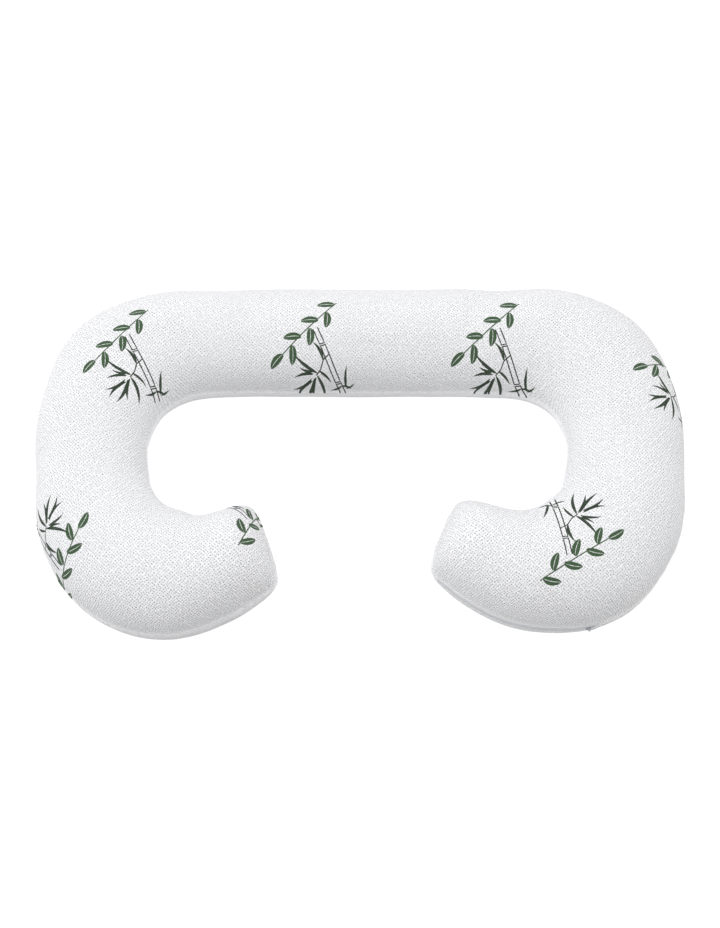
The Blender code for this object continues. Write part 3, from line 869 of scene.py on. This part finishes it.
def plate(outlines, thickness):
    """A flat plate with holes and rounded edges, as a mesh about the plane z = 0."""
    curve = bpy.data.curves.new("plate", "CURVE")
    curve.dimensions = "2D"
    curve.fill_mode = "BOTH"
    curve.extrude = thickness / 2 - PULL_ROUND
    curve.bevel_depth = PULL_ROUND
    curve.bevel_resolution = 2
    curve.offset = -PULL_ROUND
    for outline in outlines:
        spline = curve.splines.new("POLY")
        spline.points.add(len(outline) - 1)
        for point, (x, y) in zip(spline.points, outline):
            point.co = (x, y, 0, 1)
        spline.use_cyclic_u = True
    holder = add_object("plate", curve)
    bpy.context.view_layer.update()
    mesh = bpy.data.meshes.new_from_object(holder.evaluated_get(bpy.context.evaluated_depsgraph_get()))
    bpy.data.objects.remove(holder)
    bpy.data.curves.remove(curve)
    return mesh


def build_pull(frame_on_band, material):
    """The pull: a tab with a raised rim round a sunk panel, drooping along the seam from the bail."""
    (length, width, height), rim = PULL_SIZE, PULL_RIM
    half, narrow, hole_half = width / 2, width / 2 * PULL_NARROW, PULL_HOLE[1] / 2
    hole_end = PULL_END_WALL + PULL_HOLE[0]
    outside = tab_outline(0, length, narrow, half, PULL_CORNER)
    hole = tab_outline(PULL_END_WALL, hole_end, hole_half, hole_half, HOLE_CORNER)
    sunk = tab_outline(hole_end + rim, length - rim, narrow - rim, half - rim, SUNK_CORNER)
    shape = bmesh.new()
    for part in (plate((outside, hole, sunk), height), plate((sunk,), height * PULL_SUNK)):
        shape.from_mesh(part)
        bpy.data.meshes.remove(part)
    bmesh.ops.remove_doubles(shape, verts=shape.verts, dist=1e-6)
    hinge = Matrix.Translation((PULL_AT, 0, SLIDER_TOP + PULL_LIFT + height / 2))
    droop = Matrix.Rotation(radians(PULL_DROOP), 4, "Y")
    return add_shape("zip_pull_tab", shape, material, frame_on_band @ hinge @ droop)


def mark_group():
    """One printed leaf or line: how much ink a place takes. It swells between its two ends by two powers."""
    inputs = {"Place": "Vector", **{name.capitalize(): "Float" for name in Mark._fields}}
    group, given = new_group("Printed mark", "ShaderNodeTree", inputs, "Float")
    place, x, y, turn, length, width, bend, root, tip, midrib = given
    away = put(group, VECTOR, (place, put(group, "ShaderNodeCombineXYZ", (x, y))), "SUBTRACT")
    back = put(group, MATH, (turn, -1.0), "MULTIPLY")
    own = put(group, TURN, {"Vector": away, "Angle": back}, rotation_type="Z_AXIS")
    own = put(group, "ShaderNodeSeparateXYZ", (own,)).outputs
    along = put(group, MATH, (own["X"], length), "DIVIDE", use_clamp=True)
    left = put(group, MATH, (1.0, along), "SUBTRACT")
    arch = put(group, MATH, (along, left), "MULTIPLY")
    middle = put(group, MATH, (arch, bend), "MULTIPLY")
    off = put(group, MATH, (own["Y"], middle), "SUBTRACT")
    aside = put(group, MATH, (off,), "ABSOLUTE")
    root_swell = put(group, MATH, (along, root), "POWER")
    tip_swell = put(group, MATH, (left, tip), "POWER")
    swell = put(group, MATH, (root_swell, tip_swell), "MULTIPLY")
    half = put(group, MATH, (swell, width), "MULTIPLY")
    inside = put(group, MATH, (half, aside), "SUBTRACT")
    ink = put(group, MATH, (inside, INK_EDGE), "DIVIDE", use_clamp=True)
    rib = put(group, MATH, (half, midrib), "MULTIPLY")
    beyond = put(group, MATH, (aside, rib), "SUBTRACT")
    scaled = put(group, MATH, (beyond, INK_EDGE), "DIVIDE")
    bare = put(group, MATH, (scaled, 1.0), "ADD", use_clamp=True)
    whole = put(group, MATH, (ink, bare), "MULTIPLY")
    put(group, "NodeGroupOutput", (whole,))
    return group


def run_and_aside(turn):
    """The directions along and across something printed that is turned by some degrees."""
    run = Vector((cos(radians(turn)), sin(radians(turn))))
    return run, Vector((-run.y, run.x))


def line_mark(start, end):
    """A printed line between two places."""
    run = Vector(end) - Vector(start)
    turn = np.degrees(np.arctan2(run.y, run.x))
    return Mark(*start, turn, run.length, LINE_WIDTH, 0, *LINE_SHAPE)


def cane_marks():
    """The cane: two outlines broken at its joints, two rings at each joint, and the twig to the leaves."""
    run, aside = run_and_aside(CANE_TURN)
    aside = aside * CANE_WIDTH / 2
    start = -run * CANE_LENGTH / 2
    joints = [share * CANE_LENGTH + half for share in CANE_JOINTS for half in (-JOINT_GAP / 2, JOINT_GAP / 2)]
    breaks = [0, *joints, CANE_LENGTH]
    marks = []
    for low, high in zip(breaks[::2], breaks[1::2]):
        for side in (aside, -aside):
            marks.append(line_mark(start + run * low + side, start + run * high + side))
    for joint in joints:
        middle = start + run * joint
        marks.append(line_mark(middle - aside * RING_REACH, middle + aside * RING_REACH + run * RING_SLANT))
    return marks + [line_mark(place, after) for place, after in zip(SIDE_TWIG, SIDE_TWIG[1:])]


def twig_marks():
    """The long twig beside the cane: an arched stem with leaves on both sides and one at its end."""
    run, aside = run_and_aside(TWIG_TURN)
    start = Vector(TWIG_MIDDLE) - run * TWIG_LENGTH / 2
    stem = TWIG_LENGTH - TWIG_LEAF_LENGTH * END_LEAF
    marks = [Mark(*start, TWIG_TURN, stem, TWIG_STEM, TWIG_ARCH, *LINE_SHAPE)]
    for number in range(TWIG_LEAVES):
        share = (number + FIRST_LEAF) / (TWIG_LEAVES - 1 + FIRST_LEAF)
        side = 1 if number % 2 else -1
        last = number == TWIG_LEAVES - 1
        arch = TWIG_ARCH * 4 * share * (1 - share)
        place = start + run * stem * min(share, 1) + aside * arch * (share < 1)
        turn = TWIG_TURN + (0 if last else side * TWIG_LEAF_SPREAD)
        size = (TWIG_LEAF_LENGTH, TWIG_LEAF_WIDTH, side * TWIG_LEAF_BEND)
        marks.append(Mark(*place, turn, *size, *TWIG_LEAF_SHAPE))
    return marks


def put_marks(tree, group, place, marks):
    """The ink of many marks together, from 0 to 1. Each has its full width where it swells most."""
    total = None
    for mark in marks:
        fullest = mark.root / (mark.root + mark.tip)
        peak = fullest**mark.root * (1 - fullest) ** mark.tip
        size = (mark.length, mark.width / 2 / peak, 4 * mark.bend * mark.length)
        given = (place, mark.x, mark.y, radians(mark.turn), *size, mark.root, mark.tip, mark.midrib)
        ink = put(tree, "ShaderNodeGroup", given, node_tree=group)
        total = ink if total is None else put(tree, MATH, (total, ink), "MAXIMUM")
    return total


def new_material(name):
    material = bpy.data.materials.new(name)
    material.use_nodes = True
    return material, material.node_tree


def finish(tree, colour, pattern, roughness, height, more):
    """Fills a material's shader. Its roughness runs between two values by a pattern; more is plain inputs."""
    given = {
        "Base Color": colour,
        "Roughness": put(tree, RANGE, {"Value": pattern, "To Min": roughness[0], "To Max": roughness[1]}),
        "Normal": put(tree, "ShaderNodeBump", {"Height": height, "Distance": 1.0, "Strength": 1.0}),
    }
    connect(tree, tree.nodes["Principled BSDF"].inputs, {**given, **more})


def knit_material(name, marks, pit_shade_strength, dimple_depth):
    """Polyester jersey, circular knitted with pin dimples and bleached, so it is matt and soft. Its pits and
    the fold at each seam are painted darker, as painted shade. marks holds pairs of ink and marks, screen
    printed on it, so that the knit breaks their edges."""
    material, tree = new_material(name)
    cloth = put(tree, FLAT_MAP, uv_map="cloth")
    from_seam = put(tree, "ShaderNodeAttribute", attribute_name="from_seam").outputs["Fac"]
    coarse, chance, wide = (
        put(tree, NOISE, {"Vector": cloth, "Scale": scale, "Detail": detail}, noise_dimensions="2D")
        for scale, detail in ((STRAY / DIMPLE_PITCH, 0), (UNEVEN / DIMPLE_PITCH, 0), (MOTTLE, MOTTLE_DETAIL))
    )
    off = put(tree, VECTOR, {0: coarse.outputs["Color"], 3: DIMPLE_JITTER}, "SCALE")
    moved = put(tree, VECTOR, (cloth, off), "ADD")
    turned = put(tree, TURN, {"Vector": moved, "Angle": radians(DIMPLE_TURN)}, rotation_type="Z_AXIS")
    phase = put(tree, VECTOR, {0: turned, 3: 2 * pi / DIMPLE_PITCH}, "SCALE")
    waves = put(tree, "ShaderNodeSeparateXYZ", (put(tree, VECTOR, (phase,), "COSINE"),)).outputs
    lattice = put(tree, MATH, (waves["X"], waves["Y"]), "ADD")
    fades = []
    for value, (low, high), least, run in (
        (lattice, PIT_SPAN, 0, "SMOOTHSTEP"),
        (lattice, KNOB_SPAN, 0, "SMOOTHSTEP"),
        (chance, WEAK_SPAN, WEAKEST, "LINEAR"),
        (from_seam, TAUT, TAUT_SHARE, "LINEAR"),
    ):
        given = {"Value": value, "From Min": low, "From Max": high, "To Min": least}
        fades.append(put(tree, RANGE, given, interpolation_type=run))
    pit, knob, strong, loose = fades
    pit = put(tree, MATH, (put(tree, MATH, (pit, strong), "MULTIPLY"), loose), "MULTIPLY")
    knob = put(tree, MATH, (knob, loose), "MULTIPLY")
    # Painted shade: each pit's colour is darkened towards the grey, standing in for the shade inside it.
    dark = put(tree, MATH, (pit, pit_shade_strength), "MULTIPLY")
    # Painted shade along the seams: the colour darkens towards the seam line, for the fold's own shadow.
    seam_shade_share = put(tree, RANGE, {"Value": from_seam, "From Max": PAINTED_SEAM_SHADE_REACH, "To Min": PAINTED_SEAM_SHADE, "To Max": 0})
    layers = [(wide, KNIT_SHADE), (dark, PAINTED_CREVICE_SHADE), (seam_shade_share, PAINTED_CREVICE_SHADE)]
    if marks:
        given = {"Vector": cloth, "Scale": 1 / LOOP_PITCH, "Detail": 1}
        fine = put(tree, NOISE, given, noise_dimensions="2D")
        centred = put(tree, VECTOR, (fine.outputs["Color"], (0.5, 0.5, 0.5)), "SUBTRACT")
        bleed = put(tree, VECTOR, {0: centred, 3: 2 * INK_BLEED}, "SCALE")
        place = put(tree, VECTOR, (put(tree, FLAT_MAP, uv_map="print"), bleed), "ADD")
        thick = put(tree, RANGE, {"Value": fine, "To Min": 1.0, "To Max": INK_THIN})
        dry = put(tree, MATH, (pit, -INK_DRY), "MULTIPLY")
        take = put(tree, MATH, (thick, dry), "ADD")
        group = mark_group()
        for shade, drawn in marks:
            ink = put_marks(tree, group, place, drawn)
            layers.append((put(tree, MATH, (ink, take), "MULTIPLY"), shade))
    colour = linear(KNIT_WHITE)
    for share, shade in layers:
        given = {"Factor": share, 6: colour, 7: linear(shade)}
        colour = put(tree, MIX, given, data_type="RGBA").outputs[2]
    given = {"Vector": cloth, "Scale": 1 / LOOP_PITCH, "Randomness": LOOP_STRAY}
    loops = put(tree, "ShaderNodeTexVoronoi", given, voronoi_dimensions="2D")
    low = put(tree, MATH, (pit, -dimple_depth), "MULTIPLY")
    raised = put(tree, MATH, (knob, KNOB_HEIGHT, low), "MULTIPLY_ADD")
    height = put(tree, MATH, (loops, -LOOP_DEPTH, raised), "MULTIPLY_ADD")
    finish(tree, colour, wide, KNIT_ROUGH, height, KNIT_SHEEN)
    return material


def tape_material():
    """Polyester zip tape, woven and heat set, so it has fine ribs along it and is a little smoother than the
    knit."""
    material, tree = new_material("polyester_tape_woven")
    band = put(tree, FLAT_MAP, uv_map="band")
    waves = []
    for pitch, stray, axis in ((RIB_PITCH, RIB_STRAY, "Y"), (PICK_PITCH, PICK_STRAY, "X")):
        given = {"Vector": band, "Scale": WAVE_RUN / pitch, "Distortion": stray, "Detail": 1.0}
        waves.append(put(tree, "ShaderNodeTexWave", given, bands_direction=axis).outputs["Fac"])
    weave = put(tree, MATH, waves, "MULTIPLY")
    # The weave's low places take the darker colour: painted shade in its hollows.
    given = {"Factor": weave, 6: linear(TAPE_HOLLOW_SHADE), 7: linear(TAPE_WHITE)}
    colour = put(tree, MIX, given, data_type="RGBA").outputs[2]
    height = put(tree, MATH, (weave, TAPE_DEPTH), "MULTIPLY")
    finish(tree, colour, weave, TAPE_ROUGH, height, {"IOR": 1.55})
    return material


def plain_material(name, light, shade, grain, roughness, depth=NYLON_DEPTH, more={}):
    """A finish with a fine mottle of its own: grain is its size in metres, depth the height of its bump."""
    material, tree = new_material(name)
    place = put(tree, "ShaderNodeTexCoord").outputs["Object"]
    mottle = put(tree, NOISE, {"Vector": place, "Scale": 1 / grain, "Detail": 3})
    given = {"Factor": mottle, 6: linear(light), 7: linear(shade)}
    colour = put(tree, MIX, given, data_type="RGBA").outputs[2]
    height = put(tree, MATH, (mottle, depth), "MULTIPLY")
    spread = (roughness - ROUGH_SPREAD, roughness + ROUGH_SPREAD)
    finish(tree, colour, mottle, spread, height, {"IOR": 1.53, **more})
    return material


def build_floor():
    """A studio floor of board, painted matt white. A faint glow keeps it white in the pillow's shade."""
    mesh = bpy.data.meshes.new("floor")
    half = FLOOR_SIZE / 2
    corners = [(-half, -half, 0), (half, -half, 0), (half, half, 0), (-half, half, 0)]
    mesh.from_pydata(corners, [], [(0, 1, 2, 3)])
    glow = {"Emission Color": linear(FLOOR_WHITE), "Emission Strength": FLOOR_GLOW}
    size = {"grain": 0.01, "roughness": 0.9, "depth": 0.0}
    board = plain_material("painted_studio_board", FLOOR_SHADE, FLOOR_SHADE, more=glow, **size)
    floor = add_object("floor", mesh, board)
    floor.visible_diffuse = False
    floor.visible_shadow = False


def light_and_camera():
    """A white room, a very large soft lamp at the far left, and a camera that looks down from the mouth."""
    scene = bpy.context.scene
    world = bpy.data.worlds.new("studio")
    scene.world = world
    world.use_nodes = True
    room = world.node_tree
    way = put(room, "ShaderNodeTexCoord").outputs["Generated"]
    light = 0.0
    for side, strengths in zip((1.0, -1.0), ROOM_LIGHT):
        facing = put(room, VECTOR, (way, (side, side, side)), "MULTIPLY")
        lit = put(room, VECTOR, (facing, (0, 0, 0)), "MAXIMUM")
        squares = put(room, VECTOR, (lit, lit), "MULTIPLY")
        part = put(room, VECTOR, (squares, strengths), "DOT_PRODUCT").outputs["Value"]
        light = put(room, MATH, (light, part), "ADD")
    connect(room, room.nodes["Background"].inputs, {"Color": (1, 1, 1, 1), "Strength": light})
    key = bpy.data.lights.new("key", "AREA")
    key.shape = "DISK"
    key.size = KEY_SIZE
    key.energy = KEY_POWER
    key.color = linear(KEY_COLOUR)[:3]
    lamp = add_object("key", key)
    lamp.location = KEY_PLACE
    lamp.rotation_euler = (Vector(KEY_AIM) - Vector(KEY_PLACE)).to_track_quat("-Z", "Y").to_euler()
    camera = add_object("camera", bpy.data.cameras.new("camera"))
    back = Vector((0, -cos(radians(CAMERA_HEIGHT)), sin(radians(CAMERA_HEIGHT))))
    camera.location = Vector(CAMERA_AIM) + back * CAMERA_DISTANCE
    camera.rotation_euler = (-back).to_track_quat("-Z", "Y").to_euler()
    camera.data.lens = CAMERA_LENS
    scene.camera = camera
    scene.view_settings.view_transform = "Standard"


leaf_marks = [Mark(*leaf, *LEAF_SHAPE) for leaf in SPRIG_LEAVES]
printed = ((LINE_INK, cane_marks()), (LEAF_INK, leaf_marks), (TWIG_INK, twig_marks()))
upper = knit_material("jersey_knit_dimpled_and_printed", printed, UPPER_PIT_SHADE, DIMPLE_DEPTH)
lower = knit_material("jersey_knit_dimpled", (), LOWER_PIT_SHADE, DIMPLE_DEPTH * LOWER_DEPTH)
cover, grid = build_cover(upper, lower)
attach(cover, "root")
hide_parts("pillow")

side = ZipSide(cover, grid)
band = build_band(side, tape_material())
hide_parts("zip_tape")
# Polyester monofilament, drawn and wound to a coil: smooth, and a little glossier than the tape.
coil_finish = plain_material("polyester_coil_drawn", NYLON_WHITE, NYLON_SHADE, grain=0.0008, roughness=0.42)
# Spun polyester thread: dull, with the fine mottle of its twist.
spun = {"grain": 0.0004, "roughness": 0.85, "depth": 0.00005}
thread = plain_material("polyester_thread_spun", THREAD_WHITE, NYLON_WHITE, **spun)
beads = beads_tree()
coil_given = {"Pitch": COIL_PITCH, "Bead size": COIL_SIZE, "Stagger": COIL_STAGGER, "Material": coil_finish}
coil = build_beads("zip_coil", side, beads, 0, TAPE_CREST + COIL_PROUD, coil_given)
stitch_given = {"Pitch": STITCH_PITCH, "Bead size": STITCH_SIZE, "Stagger": 0.0, "Material": thread}
stitches = [
    build_beads(f"zip_stitches_{name}", side, beads, up, band_rise(up), stitch_given)
    for name, up in (("lower", -STITCH_ROW), ("upper", STITCH_ROW))
]
for piece in (band, coil, *stitches):
    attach(piece, "root")

on_band = side.seam_frame(ZIP_END - SLIDER_FROM_END, CAD_CREST)
# Nylon, injection moulded in a blasted tool: even in colour, and between dull and satin. Its grey, darker than
# the pull's, is partly painted shade, standing in for the shadowed outline round the pull.
slider_nylon_painted_shade = plain_material("nylon_grey_painted_shade", SLIDER_GREY, SLIDER_SHADE, grain=0.0015, roughness=0.5)
# Nylon, injection moulded from white stock in a polished tool: satin, with a slight orange peel.
pale_nylon = plain_material("nylon_moulded_pale", NYLON_WHITE, NYLON_SHADE, grain=0.0015, roughness=0.38)
slider = build_slider(on_band, slider_nylon_painted_shade)
pull = build_pull(on_band, pale_nylon)
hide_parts("zip_slider")
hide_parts("zip_pull")
for piece in (slider, pull):
    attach(piece, "root")

build_floor()
light_and_camera()
